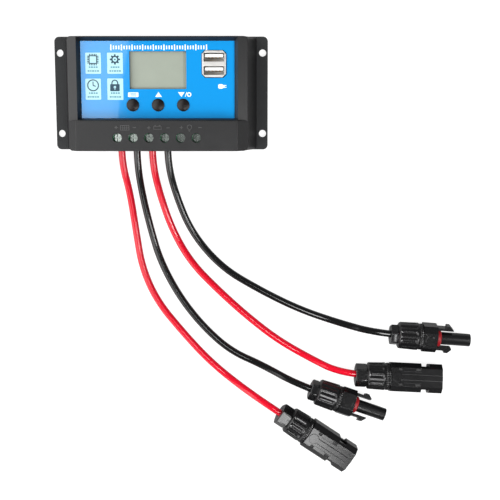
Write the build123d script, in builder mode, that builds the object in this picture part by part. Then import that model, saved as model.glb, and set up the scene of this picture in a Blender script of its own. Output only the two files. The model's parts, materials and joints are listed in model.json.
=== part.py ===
from build123d import *
from math import radians, tan
import os

# Solar charge controller with four battery and panel leads, each ending in a
# weatherproof solar connector.  Millimetres.  The controller lies on its back:
# +Z points out of its face, +Y towards the top of its face, +X to the right.
# The origin is the middle of the back plate's underside.

os.makedirs("parts", exist_ok=True)


def save(solids, name):
    """Label the finished piece and write it as its own STEP file."""
    solids.label = name
    export_step(solids, f"parts/{name}.step")


# ---------------------------------------------------------------- driving dimensions

# back plate
plate_length = 133.5
plate_width = 70.0
plate_thickness = 2.0
plate_corner = 3.0
mount_spacing_x = 127.0
mount_spacing_y = 50.0
mount_hole = 4.5

# front cover, outside
overall_height = 35.0
foot_half = 59.8
wall_hollow = 0.7
shoulder_half = 54.5
shoulder_height = 25.0
crease_half = 48.6
crease_height = 27.6
rear_inset = 0.3
rear_draft = 1.4
hood_depth = 18.0
edge_round = 0.5
corner_round = 2.2
wall = 2.0

# label recess in the front cover
recess_half = 46.6
recess_front_inset = 1.4
recess_rear_inset = 3.9
recess_floor = 24.1
recess_flare = 1.9
step_gap = 0.6
label_thickness = 0.2
label_margin = 0.15

# board
board_underside = 8.0
board_thickness = 1.6
board_half = 46.0
board_fit = 0.3
seat_gap = 0.1

# pillars and screws
case_pillar_x = 50.4
case_pillar_inset = 7.2
case_pillar = 6.4
pillar_sink = 0.9
case_screw = 3.0
case_screw_head = 5.6
case_screw_length = 10.0
board_pillar_x = 42.6
board_pillar_rear_inset = 2.4
board_pillar_front_inset = 8.7
board_pillar = 4.6
board_screw = 2.2
board_screw_head = 4.4
board_head_height = 1.5
board_screw_length = 6.0
thread_clearance = 0.1

# display
display_x = 0.15
display_y = 13.3
display_width = 34.3
display_depth = 22.4
glass_border = 3.0
glass_thickness = 2.8
backlight_thickness = 6.0
backlight_leg = 2.4
backlight_margin = 1.6
pins_per_side = 10
pin_pitch = 2.54
pin_width = 0.5
pin_inset = 0.8

# keys
key_pitch = 15.3
key_y = -7.5
key_diameter = 7.4
key_clearance = 0.15
key_crown = 0.7
key_proud = 0.5
key_flange = 1.0
key_flange_rim = 0.9
key_stem = 3.4
switch_size = 6.0
switch_height = 3.5
plunger_diameter = 3.0
plunger_proud = 1.5
plunger_foot = 4.2
plunger_foot_height = 0.7
snap_dome_height = 0.6
snap_dome_thickness = 0.15
snap_dome_rim = 0.5
switch_floor = 1.0
switch_roof = 0.5

# twin USB socket, standing upright
usb_x = 34.1
usb_y = 17.0
usb_width = 14.4
usb_depth = 15.8
usb_corner = 2.0
usb_proud = 0.7
usb_clearance = 0.35
port_pitch = 7.9
port_width = 12.5
port_depth = 5.12
port_length = 12.0
tongue_width = 11.1
tongue_thickness = 1.84
tongue_offset = 1.0
tongue_below_rim = 1.0
tongue_foot = 2.0
tongue_fit = 0.1
contact_pitch = 2.2
contact_width = 1.0
contact_thickness = 0.25
contact_length = 7.5

# terminal block
ways = 6
wired_ways = 4
way_pitch = 9.5
way_inset = 7.5
block_inset = 0.4
block_depth = 14.0
block_end_wall = 0.6
block_top_gap = 1.4
block_clearance = 0.3
entry_height = 16.0
entry_width = 6.0
entry_opening = 6.4
hood_hole = 5.6
screw_hole = 5.4
screw_head = 5.0
screw_head_height = 2.2
screw_recess = 0.6
screw_shank = 3.5
screw_slot = 0.9
slot_depth = 1.0
head_ledge = 0.2
turning_clearance = 0.1
cage_width = 7.0
cage_length = 5.6
cage_floor = 1.0
cage_window = 6.2
cage_roof = 2.0
cage_side = 1.0
cage_clearance = 0.3
cage_travel = 2.0
busbar_thickness = 0.8
busbar_width = 4.6
conductor_diameter = 2.5
strand_gap = 0.05
stripped_length = 7.0

# power parts
transistor_count = 4
transistor_pitch = 21.0
transistor_y = 2.0
transistor_width = 10.0
transistor_body = 9.2
transistor_height = 4.4
tab_length = 6.3
tab_thickness = 1.3
tab_hole = 3.6
leg_width = 0.8
leg_pitch = 2.54
leg_thickness = 0.5
leg_run = 2.5
pad_thickness = 0.5
pad_margin = 2.0
capacitor_diameter = 8.0
capacitor_height = 11.5
capacitor_x = -35.0
capacitor_ys = (4.0, 16.0)
capacitor_bevel = 0.35
coil_x = 34.5
coil_y = -3.0
coil_diameter = 9.0
coil_height = 7.0
coil_waist = 6.4
coil_flange = 1.2
chip_x = 0.0
chip_y = 13.0
chip_size = 9.0
chip_height = 1.4
chip_leg = 1.0
chip_legs_per_side = 8
chip_leg_pitch = 1.0
chip_leg_width = 0.5
chip_leg_height = 0.5

# leads
lead_diameter = 4.4
floor_gap = 0.05
lead_seat = 3.2
lead_first_run = 11.6
bend_share = 0.45

# connectors, along their own axis from the lead's entry
gland_bore_clearance = 0.2
latch_hex = 11.8
latch_hex_length = 4.3
latch_nut = 17.7
latch_nut_end = 17.8
window_hex = 13.0
window_hex_length = 6.9
window_nut = 18.1
window_nut_end = 19.0
nut_taper = 0.5
nut_cone = 1.6
flutes = 12
flute_width = 1.5
flute_depth = 0.45
spigot = 12.4
spigot_start = 9.0
spigot_clearance = 0.2
seal_start = 9.6
seal_length = 5.6
seal_diameter = 9.0
clamp_start = 5.6
lead_depth = 16.0
crimp_diameter = 4.8
crimp_length = 7.0
contact_collar = 6.0
contact_collar_length = 2.0
contact_clearance = 0.2
collar_diameter = 15.2
latch_body_start = 20.5
latch_body_end = 29.5
latch_body_width = 17.2
latch_body_thickness = 15.0
latch_body_chamfer = 3.6
ring_width = 2.9
ring_diameter = 11.0
ring_bevel = 0.7
barrel_diameter = 8.1
latch_length = 51.4
socket_outer = 5.3
socket_bore = 3.9
socket_inset = 1.5
arm_offset = 5.9
arm_thickness = 1.6
arm_width = 5.6
arm_end = 39.9
hook_length = 4.6
hook_height = 1.5
window_body_start = 22.4
window_length = 55.4
window_body_width = 18.6
window_body_thickness = 14.6
window_body_chamfer = 3.4
window_bore_depth = 22.0
window_bore_clearance = 0.25
window_channel_depth = 15.0
notch_from_front = 8.4
notch_length = 5.0
notch_depth = 1.9
pin_diameter = 3.8
pin_inset_front = 6.0
pin_point = 0.95
boss_diameter = 6.4
boss_height = 0.4
boss_inset = 4.2
strip_width = 3.0
brace_width = 0.6
brace_spread = 4.2
brace_meet = 1.8
pocket_places = ((27.4, 2.2), (38.2, 3.2))
pocket_offset = 4.9
pocket_width = 1.6
pocket_depth = 0.8

# Routes of the leads beyond the terminal block, then how far each connector is rolled about its axis.
on_table = lead_diameter / 2 + floor_gap
lead_routes = {
    "panel_positive_lead": [
        (-20, -62, 9),
        (-17.5, -87, on_table),
        (-14, -111, on_table),
        (-4.5, -133, on_table),
        (11.5, -153, on_table),
        (28, -171.5, on_table),
        (46, -187, on_table),
        (68.4, -201, 9.8),
        (88.2, -214.5, 9.2),
    ],
    "panel_negative_lead": [
        (-12.5, -62, 9),
        (-8, -86, on_table),
        (-2, -107, on_table),
        (10, -130, on_table),
        (25, -149.5, on_table),
        (43, -166, on_table),
        (64, -175.5, on_table),
        (87.2, -186.9, 9.1),
        (109.8, -194.9, 8.9),
    ],
    "battery_positive_lead": [
        (-1.5, -62, 9),
        (6, -87, on_table),
        (18, -108, on_table),
        (35.5, -126, on_table),
        (53.5, -142.5, on_table),
        (73, -158, on_table),
        (93.5, -170, on_table),
        (115.7, -179.5, 9.4),
        (139.7, -180.7, 9.1),
    ],
    "battery_negative_lead": [
        (8.5, -62, 9),
        (18, -88, on_table),
        (37, -110.5, on_table),
        (61, -125, on_table),
        (87, -138, on_table),
        (113, -147, on_table),
        (137.8, -152.4, 9.6),
        (161.7, -154.3, 9.0),
    ],
}
connector_roll = {
    "panel_positive": 0,
    "panel_negative": -20,
    "battery_positive": -15,
    "battery_negative": 8,
}
latch_leads = ("panel_negative", "battery_negative")
window_leads = ("panel_positive", "battery_positive")

# ---------------------------------------------------------------- places worked out once

half_width = plate_width / 2
rear_end = half_width - rear_inset
hood_rear = hood_depth - half_width
hollow_rear = rear_end - rear_draft - wall
hollow_front = wall - half_width
recess_front = hood_rear + recess_front_inset
recess_rear = rear_end - recess_rear_inset
label_top = recess_floor + label_thickness
recess_ceiling = recess_floor - wall
hood_ceiling = overall_height - wall
board_top = board_underside + board_thickness
board_rear = hollow_rear - board_fit
board_front = hollow_front + board_fit
block_front = block_inset - half_width
block_rear = block_front + block_depth
block_height = hood_ceiling - block_top_gap - board_top
way_y = block_front + way_inset
lead_entry_y = block_front + lead_seat
case_pillar_y = half_width - case_pillar_inset
board_pillar_rear = board_rear - board_pillar_rear_inset
board_pillar_front = board_front + board_pillar_front_inset
way_xs = [(way - (ways - 1) / 2) * way_pitch for way in range(ways)]
key_names = ("menu", "up", "down")
key_xs = [(key - 1) * key_pitch for key in range(len(key_names))]
case_pillars = [(x, y) for x in (-case_pillar_x, case_pillar_x) for y in (-case_pillar_y, case_pillar_y)]
board_pillars = [
    (x, y) for x in (-board_pillar_x, board_pillar_x) for y in (board_pillar_front, board_pillar_rear)
]

# ---------------------------------------------------------------- back plate

countersink = case_screw_head / 2 + thread_clearance
with BuildPart() as back_plate:
    with BuildSketch():
        RectangleRounded(plate_length, plate_width, plate_corner)
        with GridLocations(mount_spacing_x, mount_spacing_y, 2, 2):
            Circle(mount_hole / 2, mode=Mode.SUBTRACT)
    extrude(amount=plate_thickness)
    with Locations(*[Location((x, y, 0), (180, 0, 0)) for x, y in case_pillars]):
        CounterSinkHole(case_screw / 2 + thread_clearance, countersink, plate_thickness, 90)
save(back_plate.part, "back_plate")

# ---------------------------------------------------------------- front cover


def across(y, side_points, hollow=0):
    """Closed outline across the cover at one Y, from its right-hand points, foot first."""
    foot, shoulder = side_points[0], side_points[1]
    middle = ((foot[0] + shoulder[0]) / 2 - hollow, (foot[1] + shoulder[1]) / 2)
    with BuildSketch(Plane.XZ.offset(-y)) as outline:
        with BuildLine():
            if hollow:
                ThreePointArc(foot, middle, shoulder)
            else:
                Line(foot, shoulder)
            if len(side_points) > 2:
                Polyline(*side_points[1:])
            Line(side_points[-1], (0, side_points[-1][1]))
            Line((0, foot[1]), foot)
            mirror(about=Plane.YZ)
        make_face()
    return outline.sketch


foot = (foot_half, plate_thickness)
shoulder = (shoulder_half, shoulder_height)
wall_slope = (foot_half - shoulder_half) / (shoulder_height - plate_thickness)
inner_foot = (foot_half - wall, plate_thickness)
inner_shoulder = (shoulder_half - wall, shoulder_height)
inner_eave = (inner_foot[0] - wall_slope * (recess_ceiling - plate_thickness), recess_ceiling)
hood_rise = overall_height - shoulder_height
bevel_run = (shoulder_half - crease_half) / hood_rise
inner_ridge = (inner_shoulder[0] - bevel_run * (hood_rise - wall), hood_ceiling)

usb_hole = (usb_width + 2 * usb_clearance, usb_depth + 2 * usb_clearance)
display_hole = (display_width, display_depth)


def cut_cornered(width, depth, corner, mode=Mode.ADD):
    """Rectangle in the current sketch with its four corners cut off."""
    x, y = width / 2, depth / 2
    Polygon(
        (x - corner, y),
        (x, y - corner),
        (x, corner - y),
        (x - corner, -y),
        (corner - x, -y),
        (-x, corner - y),
        (-x, y - corner),
        (corner - x, y),
        mode=mode,
    )


with BuildPart() as cover_body:
    body_outline = across(rear_end, [foot, shoulder, (crease_half, crease_height)], wall_hollow)
    extrude(body_outline, amount=rear_end - hood_rear)
    with BuildSketch(Plane.YZ):
        with BuildLine():
            Polyline(
                (rear_end, plate_thickness),
                (rear_end, crease_height),
                (rear_end - rear_draft, crease_height),
                close=True,
            )
        make_face()
    extrude(amount=foot_half, both=True, mode=Mode.SUBTRACT)

with BuildPart() as cover_hood:
    hood_outline = across(hood_rear, [foot, shoulder, (crease_half, overall_height)], wall_hollow)
    extrude(hood_outline, amount=hood_depth)


def softened(block):
    """One block of the cover, with its outer corners and its long creases rounded."""
    with BuildPart() as soft:
        add(block)
        corners = [
            edge
            for edge in soft.edges()
            if abs(edge.center().X) > shoulder_half and edge.bounding_box().size.Z > hood_rise
        ]
        fillet([edge for edge in corners if abs(edge.center().Y) > hood_depth], corner_round)
        creases = [
            edge
            for edge in soft.edges().filter_by(Axis.Y)
            if edge.center().Z > plate_thickness and edge.length > hood_depth / 2
        ]
        fillet(creases, edge_round)
    return soft.part


with BuildPart() as front_cover:
    add(softened(cover_body.part))
    add(softened(cover_hood.part))

    # the label's recess, flared towards its mouth
    recess_size = (2 * recess_half, recess_rear - recess_front)
    mouth_front = max(recess_front - recess_flare, hood_rear + step_gap)
    mouth_size = (2 * (recess_half + recess_flare), recess_rear + recess_flare - mouth_front)
    with BuildSketch(Plane.XY.offset(recess_floor)):
        with Locations((0, (recess_rear + recess_front) / 2)):
            Rectangle(*recess_size)
    with BuildSketch(Plane.XY.offset(crease_height)):
        with Locations((0, (recess_rear + recess_flare + mouth_front) / 2)):
            Rectangle(*mouth_size)
    loft(mode=Mode.SUBTRACT)

    # the hollow inside, low under the label and high under the hood
    low_hollow = across(hollow_rear, [inner_foot, inner_eave])
    extrude(low_hollow, amount=hollow_rear - hollow_front, mode=Mode.SUBTRACT)
    high_hollow = across(hood_rear - wall, [inner_foot, inner_shoulder, inner_ridge])
    extrude(high_hollow, amount=hood_depth - 2 * wall, mode=Mode.SUBTRACT)

    # pillars for the case screws and the board
    with BuildSketch(Plane.XY.offset(plate_thickness)):
        with Locations(*case_pillars):
            Circle(case_pillar / 2)
    extrude(amount=recess_ceiling + pillar_sink - plate_thickness)
    with BuildSketch(Plane.XY.offset(board_top)):
        with Locations(*[(x, board_pillar_rear) for x in (-board_pillar_x, board_pillar_x)]):
            Circle(board_pillar / 2)
    extrude(amount=recess_ceiling + pillar_sink - board_top)
    with BuildSketch(Plane.XY.offset(board_top)):
        with Locations(*[(x, board_pillar_front) for x in (-board_pillar_x, board_pillar_x)]):
            Circle(board_pillar / 2)
    extrude(amount=hood_ceiling + pillar_sink - board_top)
    with BuildSketch(Plane.XY.offset(plate_thickness)):
        with Locations(*case_pillars):
            Circle(case_screw / 2 + thread_clearance)
    extrude(amount=case_screw_length, mode=Mode.SUBTRACT)
    with BuildSketch(Plane.XY.offset(board_top)):
        with Locations(*board_pillars):
            Circle(board_screw / 2 + thread_clearance)
    extrude(amount=board_screw_length, mode=Mode.SUBTRACT)

    # windows for the display, the socket and the keys
    with BuildSketch(Plane.XY.offset(recess_floor)):
        with Locations((display_x, display_y)):
            Rectangle(*display_hole)
        with Locations((usb_x, usb_y)):
            cut_cornered(*usb_hole, usb_corner)
        with Locations(*[(x, key_y) for x in key_xs]):
            Circle(key_diameter / 2 + key_clearance)
    extrude(amount=-wall, mode=Mode.SUBTRACT)

    # screwdriver holes over the terminals, and the opening in front of the block
    with BuildSketch(Plane.XY.offset(overall_height)):
        with Locations(*[(x, way_y) for x in way_xs]):
            Circle(hood_hole / 2)
    extrude(amount=-wall, mode=Mode.SUBTRACT)
    with BuildSketch(Plane.XZ.offset(half_width)):
        with Locations((0, board_top + block_height / 2)):
            Rectangle(
                ways * way_pitch + 2 * (block_end_wall + block_clearance),
                block_height + 2 * block_clearance,
            )
    extrude(amount=-wall, mode=Mode.SUBTRACT)
save(front_cover.part, "front_cover")

# ---------------------------------------------------------------- screws of the case and the board

with BuildPart() as case_screw_solid:
    with BuildSketch(Plane.XZ):
        with BuildLine():
            Polyline(
                (0, thread_clearance),
                (case_screw_head / 2 - thread_clearance, thread_clearance),
                (case_screw / 2, (case_screw_head - case_screw) / 2),
                (case_screw / 2, case_screw_length),
                (0, case_screw_length),
                close=True,
            )
        make_face()
    revolve(axis=Axis.Z)
    with BuildSketch(Plane.XY):
        Rectangle(case_screw, screw_slot)
        Rectangle(screw_slot, case_screw)
    extrude(amount=screw_slot + thread_clearance, mode=Mode.SUBTRACT)
with BuildPart() as back_plate_screws:
    with Locations(*case_pillars):
        add(case_screw_solid.part)
save(back_plate_screws.part, "back_plate_screws")

with BuildPart() as board_screws:
    with BuildSketch(Plane.XY.offset(board_underside - board_head_height)):
        with Locations(*board_pillars):
            Circle(board_screw_head / 2)
    extrude(amount=board_head_height)
    with BuildSketch(Plane.XY.offset(board_underside)):
        with Locations(*board_pillars):
            Circle(board_screw / 2)
    extrude(amount=board_thickness + board_screw_length - board_head_height)
save(board_screws.part, "board_screws")

# ---------------------------------------------------------------- circuit board

with BuildPart() as circuit_board:
    with BuildSketch(Plane.XY.offset(board_underside)):
        with Locations((0, (board_front + board_rear) / 2)):
            Rectangle(2 * board_half, board_rear - board_front)
        with Locations(*board_pillars):
            Circle(board_screw / 2 + 2 * thread_clearance, mode=Mode.SUBTRACT)
    extrude(amount=board_thickness)
save(circuit_board.part, "circuit_board")

# ---------------------------------------------------------------- label and display

with BuildPart() as face_label:
    with BuildSketch(Plane.XY.offset(recess_floor)):
        with Locations((0, (recess_rear + recess_front) / 2)):
            Rectangle(recess_size[0] - 2 * label_margin, recess_size[1] - 2 * label_margin)
        with Locations((display_x, display_y)):
            Rectangle(*display_hole, mode=Mode.SUBTRACT)
        with Locations((usb_x, usb_y)):
            cut_cornered(*usb_hole, usb_corner, Mode.SUBTRACT)
        with Locations(*[(x, key_y) for x in key_xs]):
            Circle(key_diameter / 2 + key_clearance, mode=Mode.SUBTRACT)
    extrude(amount=label_thickness)
save(face_label.part, "face_label")

glass_size = (display_width + 2 * glass_border, display_depth + 2 * glass_border)
glass_underside = recess_ceiling - glass_thickness
backlight_size = (glass_size[0] - 2 * backlight_margin, glass_size[1] - 2 * backlight_margin)
with BuildPart() as lcd_glass:
    with BuildSketch(Plane.XY.offset(glass_underside)):
        with Locations((display_x, display_y)):
            Rectangle(*glass_size)
    extrude(amount=glass_thickness)
save(lcd_glass.part, "lcd_glass")

with BuildPart() as lcd_backlight:
    with BuildSketch(Plane.XY.offset(glass_underside)):
        with Locations((display_x, display_y)):
            Rectangle(*backlight_size)
    extrude(amount=-backlight_thickness)
    with BuildSketch(Plane.XY.offset(board_top)):
        with Locations((display_x, display_y)):
            leg_spacing = (backlight_size[0] - backlight_leg, backlight_size[1] - backlight_leg)
            with GridLocations(*leg_spacing, 2, 2):
                Rectangle(backlight_leg, backlight_leg)
    extrude(amount=glass_underside - backlight_thickness - board_top)
save(lcd_backlight.part, "lcd_backlight")

with BuildPart() as lcd_pins:
    with BuildSketch(Plane.XY.offset(board_top)):
        with Locations((display_x, display_y)):
            with GridLocations(pin_pitch, glass_size[1] - 2 * pin_inset, pins_per_side, 2):
                Rectangle(pin_width, pin_width)
    extrude(amount=glass_underside - board_top)
save(lcd_pins.part, "lcd_pins")

# ---------------------------------------------------------------- keys and their switches

switch_top = board_top + switch_height
plunger_top = switch_top + plunger_proud
foot_top = switch_top - switch_roof - seat_gap / 2
flange_top = recess_ceiling - seat_gap


def turned(x, y, outline):
    """Solid turned about the vertical line through (x, y) from its right-hand outline."""
    with BuildPart() as piece:
        with BuildSketch(Plane((x, y, 0), x_dir=(1, 0, 0), z_dir=(0, -1, 0))):
            with BuildLine():
                Polyline(*outline, close=True)
            make_face()
        revolve(axis=Axis((x, y, 0), (0, 0, 1)))
    return piece.part


cap_top = label_top + key_proud
with BuildPart() as key_cap:
    with BuildSketch(Plane.XZ):
        with BuildLine():
            Polyline(
                (0, cap_top + key_crown),
                (0, plunger_top),
                (key_stem / 2, plunger_top),
                (key_stem / 2, flange_top - key_flange),
                (key_diameter / 2 + key_flange_rim, flange_top - key_flange),
                (key_diameter / 2 + key_flange_rim, flange_top),
                (key_diameter / 2, flange_top),
                (key_diameter / 2, cap_top),
            )
            RadiusArc(
                (key_diameter / 2, cap_top),
                (0, cap_top + key_crown),
                -((key_diameter / 2) ** 2 + key_crown**2) / (2 * key_crown),
            )
        make_face()
    revolve(axis=Axis.Z)
for name, x in zip(key_names, key_xs):
    with BuildPart() as button:
        with Locations((x, key_y)):
            add(key_cap.part)
    save(button.part, f"{name}_button")
    plunger_outline = [
        (0, foot_top - plunger_foot_height),
        (plunger_foot / 2, foot_top - plunger_foot_height),
        (plunger_foot / 2, foot_top),
        (plunger_diameter / 2, foot_top),
        (plunger_diameter / 2, plunger_top),
        (0, plunger_top),
    ]
    save(turned(x, key_y, plunger_outline), f"{name}_plunger")

with BuildPart() as switch_housings:
    with BuildSketch(Plane.XY.offset(board_top)):
        with Locations(*[(x, key_y) for x in key_xs]):
            Rectangle(switch_size, switch_size)
    extrude(amount=switch_height)
    with BuildSketch(Plane.XY.offset(board_top + switch_floor)):
        with Locations(*[(x, key_y) for x in key_xs]):
            Circle(plunger_foot / 2 + key_clearance)
    extrude(amount=switch_height - switch_floor - switch_roof, mode=Mode.SUBTRACT)
    with BuildSketch(Plane.XY.offset(switch_top)):
        with Locations(*[(x, key_y) for x in key_xs]):
            Circle(plunger_diameter / 2 + key_clearance)
    extrude(amount=-switch_height / 2, mode=Mode.SUBTRACT)
save(switch_housings.part, "switch_housings")

dome_rim = plunger_foot / 2
dome_foot = board_top + switch_floor
dome_outline = [
    (0, dome_foot + snap_dome_height),
    (dome_rim, dome_foot),
    (dome_rim - snap_dome_rim, dome_foot),
    (0, dome_foot + snap_dome_height - snap_dome_thickness),
]
with BuildPart() as switch_domes:
    for x in key_xs:
        add(turned(x, key_y, dome_outline))
save(switch_domes.part, "switch_domes")

# ---------------------------------------------------------------- twin USB socket

usb_top = label_top + usb_proud
port_floor = usb_top - port_length
port_ys = (usb_y - port_pitch / 2, usb_y + port_pitch / 2)
with BuildPart() as usb_shell:
    with BuildSketch(Plane.XY.offset(board_top)):
        with Locations((usb_x, usb_y)):
            cut_cornered(usb_width, usb_depth, usb_corner)
    extrude(amount=usb_top - board_top)
    with BuildSketch(Plane.XY.offset(usb_top)):
        with Locations(*[(usb_x, y) for y in port_ys]):
            Rectangle(port_width, port_depth)
    extrude(amount=-port_length, mode=Mode.SUBTRACT)
save(usb_shell.part, "usb_shell")

tongue_top = usb_top - tongue_below_rim
with BuildPart() as usb_tongues:
    with BuildSketch(Plane.XY.offset(port_floor)):
        with Locations(*[(usb_x, y) for y in port_ys]):
            Rectangle(port_width - 2 * tongue_fit, port_depth - 2 * tongue_fit)
    extrude(amount=tongue_foot)
    with BuildSketch(Plane.XY.offset(port_floor + tongue_foot)):
        with Locations(*[(usb_x, y + tongue_offset) for y in port_ys]):
            Rectangle(tongue_width, tongue_thickness)
    extrude(amount=tongue_top - port_floor - tongue_foot)
save(usb_tongues.part, "usb_tongues")

with BuildPart() as usb_contacts:
    with BuildSketch(Plane.XY.offset(port_floor + tongue_foot)):
        for y in port_ys:
            with Locations((usb_x, y + tongue_offset - (tongue_thickness + contact_thickness) / 2)):
                with GridLocations(contact_pitch, 1, 4, 1):
                    Rectangle(contact_width, contact_thickness)
    extrude(amount=contact_length)
save(usb_contacts.part, "usb_contacts")

# ---------------------------------------------------------------- terminal block

block_top = board_top + block_height
well_floor = block_top - screw_recess - screw_head_height - head_ledge
busbar_underside = entry_height + conductor_diameter / 2 + strand_gap
busbar_top = busbar_underside + busbar_thickness
cage_underside = entry_height - conductor_diameter / 2 - strand_gap - cage_floor
cage_height = cage_floor + cage_window + cage_roof
pocket_floor = cage_underside - cage_travel - cage_clearance
pocket_roof = cage_underside + cage_height + cage_clearance
way_spots = [(x, way_y) for x in way_xs]
busbar_front = way_y - cage_length / 2 - cage_clearance + turning_clearance
leg_rear = block_rear - busbar_thickness

with BuildPart() as terminal_block:
    with BuildSketch(Plane.XY.offset(board_top)):
        with Locations((0, (block_front + block_rear) / 2)):
            Rectangle(ways * way_pitch + 2 * block_end_wall, block_rear - block_front)
    extrude(amount=block_height)
    with BuildSketch(Plane.XY.offset(pocket_floor)):
        with Locations(*way_spots):
            Rectangle(cage_width + 2 * cage_clearance, cage_length + 2 * cage_clearance)
    extrude(amount=pocket_roof - pocket_floor, mode=Mode.SUBTRACT)
    with BuildSketch(Plane.XY.offset(pocket_roof)):
        with Locations(*way_spots):
            Circle(screw_shank / 2 + 2 * turning_clearance)
    extrude(amount=well_floor - pocket_roof, mode=Mode.SUBTRACT)
    with BuildSketch(Plane.XY.offset(well_floor)):
        with Locations(*way_spots):
            Circle(screw_hole / 2)
    extrude(amount=block_top - well_floor, mode=Mode.SUBTRACT)
    with BuildSketch(Plane.XZ.offset(-block_front)):
        with Locations(*[(x, entry_height) for x in way_xs]):
            Rectangle(entry_width, entry_opening)
    extrude(amount=block_front - way_y, mode=Mode.SUBTRACT)
    with BuildSketch(Plane.XZ.offset(-block_rear)):
        with Locations(*[(x, busbar_underside + busbar_thickness / 2) for x in way_xs]):
            Rectangle(busbar_width + 2 * turning_clearance, busbar_thickness + 2 * turning_clearance)
    extrude(amount=block_rear - way_y, mode=Mode.SUBTRACT)
    channel_height = busbar_top + turning_clearance - board_top
    with BuildSketch(Plane.XZ.offset(-block_rear)):
        with Locations(*[(x, board_top + channel_height / 2) for x in way_xs]):
            Rectangle(busbar_width + 2 * turning_clearance, channel_height)
    extrude(amount=2 * busbar_thickness + turning_clearance, mode=Mode.SUBTRACT)
save(terminal_block.part, "terminal_block")

with BuildPart() as terminal_busbars:
    with BuildSketch(Plane.XY.offset(busbar_underside)):
        with Locations(*[(x, (busbar_front + leg_rear) / 2) for x in way_xs]):
            Rectangle(busbar_width, leg_rear - busbar_front)
    extrude(amount=busbar_thickness)
    with BuildSketch(Plane.XY.offset(board_top)):
        with Locations(*[(x, leg_rear - busbar_thickness / 2) for x in way_xs]):
            Rectangle(busbar_width, busbar_thickness)
    extrude(amount=busbar_underside - board_top)
save(terminal_busbars.part, "terminal_busbars")

screw_head_underside = well_floor + head_ledge
with BuildPart() as screw_solid:
    with BuildSketch(Plane.XY.offset(screw_head_underside)):
        Circle(screw_head / 2)
    extrude(amount=screw_head_height)
    with BuildSketch(Plane.XY.offset(busbar_top + turning_clearance)):
        Circle(screw_shank / 2)
    extrude(amount=screw_head_underside - busbar_top - turning_clearance)
    with BuildSketch(Plane.XY.offset(screw_head_underside + screw_head_height)):
        Rectangle(screw_head, screw_slot)
        Rectangle(screw_slot, screw_head)
    extrude(amount=-slot_depth, mode=Mode.SUBTRACT)

with BuildPart() as cage_solid:
    with BuildSketch(Plane.XZ.offset(-cage_length / 2)):
        with Locations((0, cage_underside + cage_height / 2)):
            Rectangle(cage_width, cage_height)
        with Locations((0, cage_underside + cage_floor + cage_window / 2)):
            Rectangle(cage_width - 2 * cage_side, cage_window, mode=Mode.SUBTRACT)
    extrude(amount=cage_length)
    with BuildSketch(Plane.XY.offset(cage_underside + cage_height)):
        Circle(screw_shank / 2 + turning_clearance)
    extrude(amount=-cage_roof, mode=Mode.SUBTRACT)

for way, x in enumerate(way_xs, start=1):
    with BuildPart() as terminal_screw:
        with Locations((x, way_y)):
            add(screw_solid.part)
    save(terminal_screw.part, f"terminal_screw_{way}")
    drop = 0 if way <= wired_ways else cage_travel
    with BuildPart() as clamp_cage:
        with Locations((x, way_y, -drop)):
            add(cage_solid.part)
    save(clamp_cage.part, f"clamp_cage_{way}")

# ---------------------------------------------------------------- power parts

transistor_xs = [(i - (transistor_count - 1) / 2) * transistor_pitch for i in range(transistor_count)]
pad_top = plate_thickness + pad_thickness
body_rear = transistor_y + transistor_body / 2
body_front = transistor_y - transistor_body / 2
tab_rear = body_rear + tab_length
leg_middle = pad_top + transistor_height / 2
with BuildPart() as thermal_pad:
    pad_front = body_front - pad_margin
    with BuildSketch(Plane.XY.offset(plate_thickness)):
        with Locations((0, (pad_front + tab_rear + pad_margin) / 2)):
            Rectangle(
                (transistor_count - 1) * transistor_pitch + transistor_width + 2 * pad_margin,
                tab_rear + pad_margin - pad_front,
            )
    extrude(amount=pad_thickness)
save(thermal_pad.part, "thermal_pad")

with BuildPart() as power_transistors:
    with BuildSketch(Plane.XY.offset(pad_top)):
        with Locations(*[(x, transistor_y) for x in transistor_xs]):
            Rectangle(transistor_width, transistor_body)
    extrude(amount=transistor_height)
    with BuildSketch(Plane.XY.offset(pad_top)):
        with Locations(*[(x, body_rear + tab_length / 2) for x in transistor_xs]):
            Rectangle(transistor_width, tab_length)
            Circle(tab_hole / 2, mode=Mode.SUBTRACT)
    extrude(amount=tab_thickness)
    with BuildSketch(Plane.XY.offset(leg_middle)):
        with Locations(*[(x, body_front - leg_run / 2) for x in transistor_xs]):
            with GridLocations(leg_pitch, 1, 3, 1):
                Rectangle(leg_width, leg_run)
    extrude(amount=leg_thickness)
    with BuildSketch(Plane.XY.offset(leg_middle)):
        with Locations(*[(x, body_front - leg_run + leg_thickness / 2) for x in transistor_xs]):
            with GridLocations(leg_pitch, 1, 3, 1):
                Rectangle(leg_width, leg_thickness)
    extrude(amount=board_underside - leg_middle)
save(power_transistors.part, "power_transistors")

with BuildPart() as reservoir_capacitors:
    for y in capacitor_ys:
        can = capacitor_diameter / 2
        can_top = board_top + capacitor_height
        add(
            turned(
                capacitor_x,
                y,
                [
                    (0, board_top),
                    (can, board_top),
                    (can, can_top - capacitor_bevel),
                    (can - capacitor_bevel, can_top),
                    (0, can_top),
                ],
            )
        )
save(reservoir_capacitors.part, "reservoir_capacitors")

coil_outline = [
    (0, board_top),
    (coil_diameter / 2, board_top),
    (coil_diameter / 2, board_top + coil_flange),
    (coil_waist / 2, board_top + coil_flange),
    (coil_waist / 2, board_top + coil_height - coil_flange),
    (coil_diameter / 2, board_top + coil_height - coil_flange),
    (coil_diameter / 2, board_top + coil_height),
    (0, board_top + coil_height),
]
save(turned(coil_x, coil_y, coil_outline), "buck_inductor")

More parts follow.
